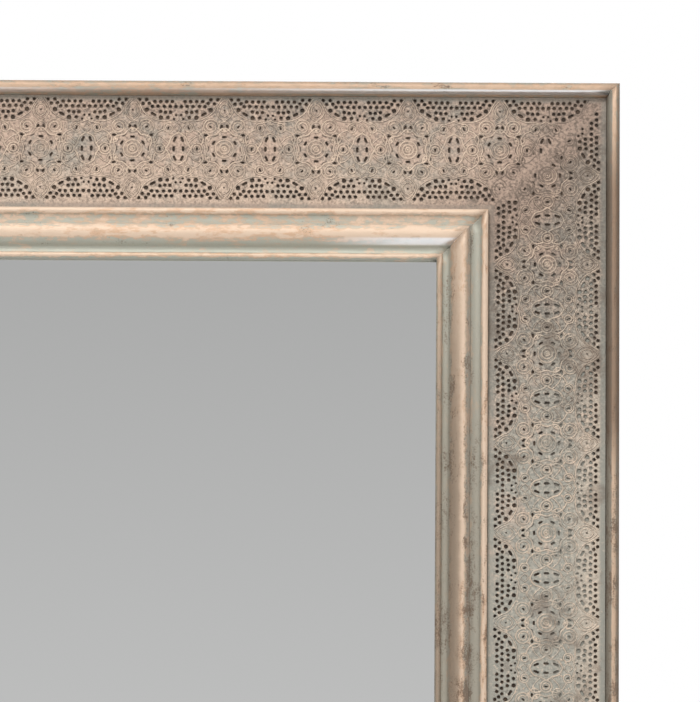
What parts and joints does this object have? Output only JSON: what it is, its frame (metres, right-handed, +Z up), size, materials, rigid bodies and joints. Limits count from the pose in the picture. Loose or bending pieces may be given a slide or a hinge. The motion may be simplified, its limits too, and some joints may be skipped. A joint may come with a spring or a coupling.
{
  "type": "framed wall mirror",
  "caption": "Rectangular wall mirror in a wide wood frame clad in antiqued sheet metal, with a pierced filigree band and a stepped inner moulding; ring hangers behind.",
  "frame": {"origin": "on the wall plane, halfway between the two hanging rings' bearing points", "axes": "+Z up, +X to the right seen from the front, +Y towards the wall; the glass faces -Y"},
  "size_m": [0.8022, 0.036, 1.2022],
  "materials": {
    "frame_wood": "softwood frame stained dark brown, seen through the pierced sheet and at the back",
    "antiqued_sheet": "embossed white metal sheet with a silver leaf look, rubbed tan and grey-green patina",
    "mirror_glass": "4 mm plain silvered glass without a bevel",
    "backboard": "3 mm brown hardboard",
    "rubber": "black moulded rubber",
    "pins": "round-headed pins, dulled brass",
    "zinc_steel": "zinc-plated steel hardware"
  },
  "bodies": {
    "frame": {"backboard": "backboard", "board_bottom": "frame_wood", "board_left": "frame_wood", "board_right": "frame_wood", "board_top": "frame_wood", "corner_plate_screws": "zinc_steel", "corner_plates": "zinc_steel", "glass_edge_spacers": "rubber", "glass_setting_blocks": "rubber", "hanger_screws": "zinc_steel", "hanger_strap_left": "zinc_steel", "hanger_strap_right": "zinc_steel", "mirror_glass": "mirror_glass", "mitre_dowels": "frame_wood", "moulding_cladding_bottom": "antiqued_sheet", "moulding_cladding_left": "antiqued_sheet", "moulding_cladding_right": "antiqued_sheet", "moulding_cladding_top": "antiqued_sheet", "moulding_core_bottom": "frame_wood", "moulding_core_left": "frame_wood", "moulding_core_right": "frame_wood", "moulding_core_top": "frame_wood", "moulding_screws": "zinc_steel", "packing_batten_bottom": "frame_wood", "packing_batten_left": "frame_wood", "packing_batten_right": "frame_wood", "packing_batten_top": "frame_wood", "pierced_sheet_bottom": "antiqued_sheet", "pierced_sheet_left": "antiqued_sheet", "pierced_sheet_right": "antiqued_sheet", "pierced_sheet_top": "antiqued_sheet", "rim_batten_bottom": "frame_wood", "rim_batten_left": "frame_wood", "rim_batten_right": "frame_wood", "rim_batten_top": "frame_wood", "rim_cladding_bottom": "antiqued_sheet", "rim_cladding_left": "antiqued_sheet", "rim_cladding_right": "antiqued_sheet", "rim_cladding_top": "antiqued_sheet", "rim_pins": "pins", "turn_button_screws": "zinc_steel", "wall_bumpers": "rubber"},
    "hanging_ring_left": {"hanging_ring_left": "zinc_steel"},
    "hanging_ring_right": {"hanging_ring_right": "zinc_steel"},
    "turn_button_bottom": {"turn_button_bottom": "zinc_steel"},
    "turn_button_left_1": {"turn_button_left_1": "zinc_steel"},
    "turn_button_left_2": {"turn_button_left_2": "zinc_steel"},
    "turn_button_left_3": {"turn_button_left_3": "zinc_steel"},
    "turn_button_right_1": {"turn_button_right_1": "zinc_steel"},
    "turn_button_right_2": {"turn_button_right_2": "zinc_steel"},
    "turn_button_right_3": {"turn_button_right_3": "zinc_steel"},
    "turn_button_top": {"turn_button_top": "zinc_steel"}
  },
  "joints": [
    {"name": "ring_swing_left", "type": "hinge", "parent": "frame", "child": "hanging_ring_left", "pos_m": [-0.325, -0.0042, -0.014], "axis": [-1, 0, 0], "range_deg": [-4, 170]},
    {"name": "ring_swing_right", "type": "hinge", "parent": "frame", "child": "hanging_ring_right", "pos_m": [0.325, -0.0042, -0.014], "axis": [-1, 0, 0], "range_deg": [-4, 170]},
    {"name": "button_turn_bottom", "type": "hinge", "parent": "frame", "child": "turn_button_bottom", "pos_m": [0, -0.00625, -0.82], "axis": [0, 1, 0], "continuous": true},
    {"name": "button_turn_left_1", "type": "hinge", "parent": "frame", "child": "turn_button_left_1", "pos_m": [-0.28, -0.00625, -0.64], "axis": [0, 1, 0], "continuous": true},
    {"name": "button_turn_left_2", "type": "hinge", "parent": "frame", "child": "turn_button_left_2", "pos_m": [-0.28, -0.00625, -0.34], "axis": [0, 1, 0], "continuous": true},
    {"name": "button_turn_left_3", "type": "hinge", "parent": "frame", "child": "turn_button_left_3", "pos_m": [-0.28, -0.00625, -0.04], "axis": [0, 1, 0], "continuous": true},
    {"name": "button_turn_right_1", "type": "hinge", "parent": "frame", "child": "turn_button_right_1", "pos_m": [0.28, -0.00625, -0.04], "axis": [0, 1, 0], "continuous": true},
    {"name": "button_turn_right_2", "type": "hinge", "parent": "frame", "child": "turn_button_right_2", "pos_m": [0.28, -0.00625, -0.34], "axis": [0, 1, 0], "continuous": true},
    {"name": "button_turn_right_3", "type": "hinge", "parent": "frame", "child": "turn_button_right_3", "pos_m": [0.28, -0.00625, -0.64], "axis": [0, 1, 0], "continuous": true},
    {"name": "button_turn_top", "type": "hinge", "parent": "frame", "child": "turn_button_top", "pos_m": [0, -0.00625, 0.14], "axis": [0, 1, 0], "continuous": true}
  ]
}
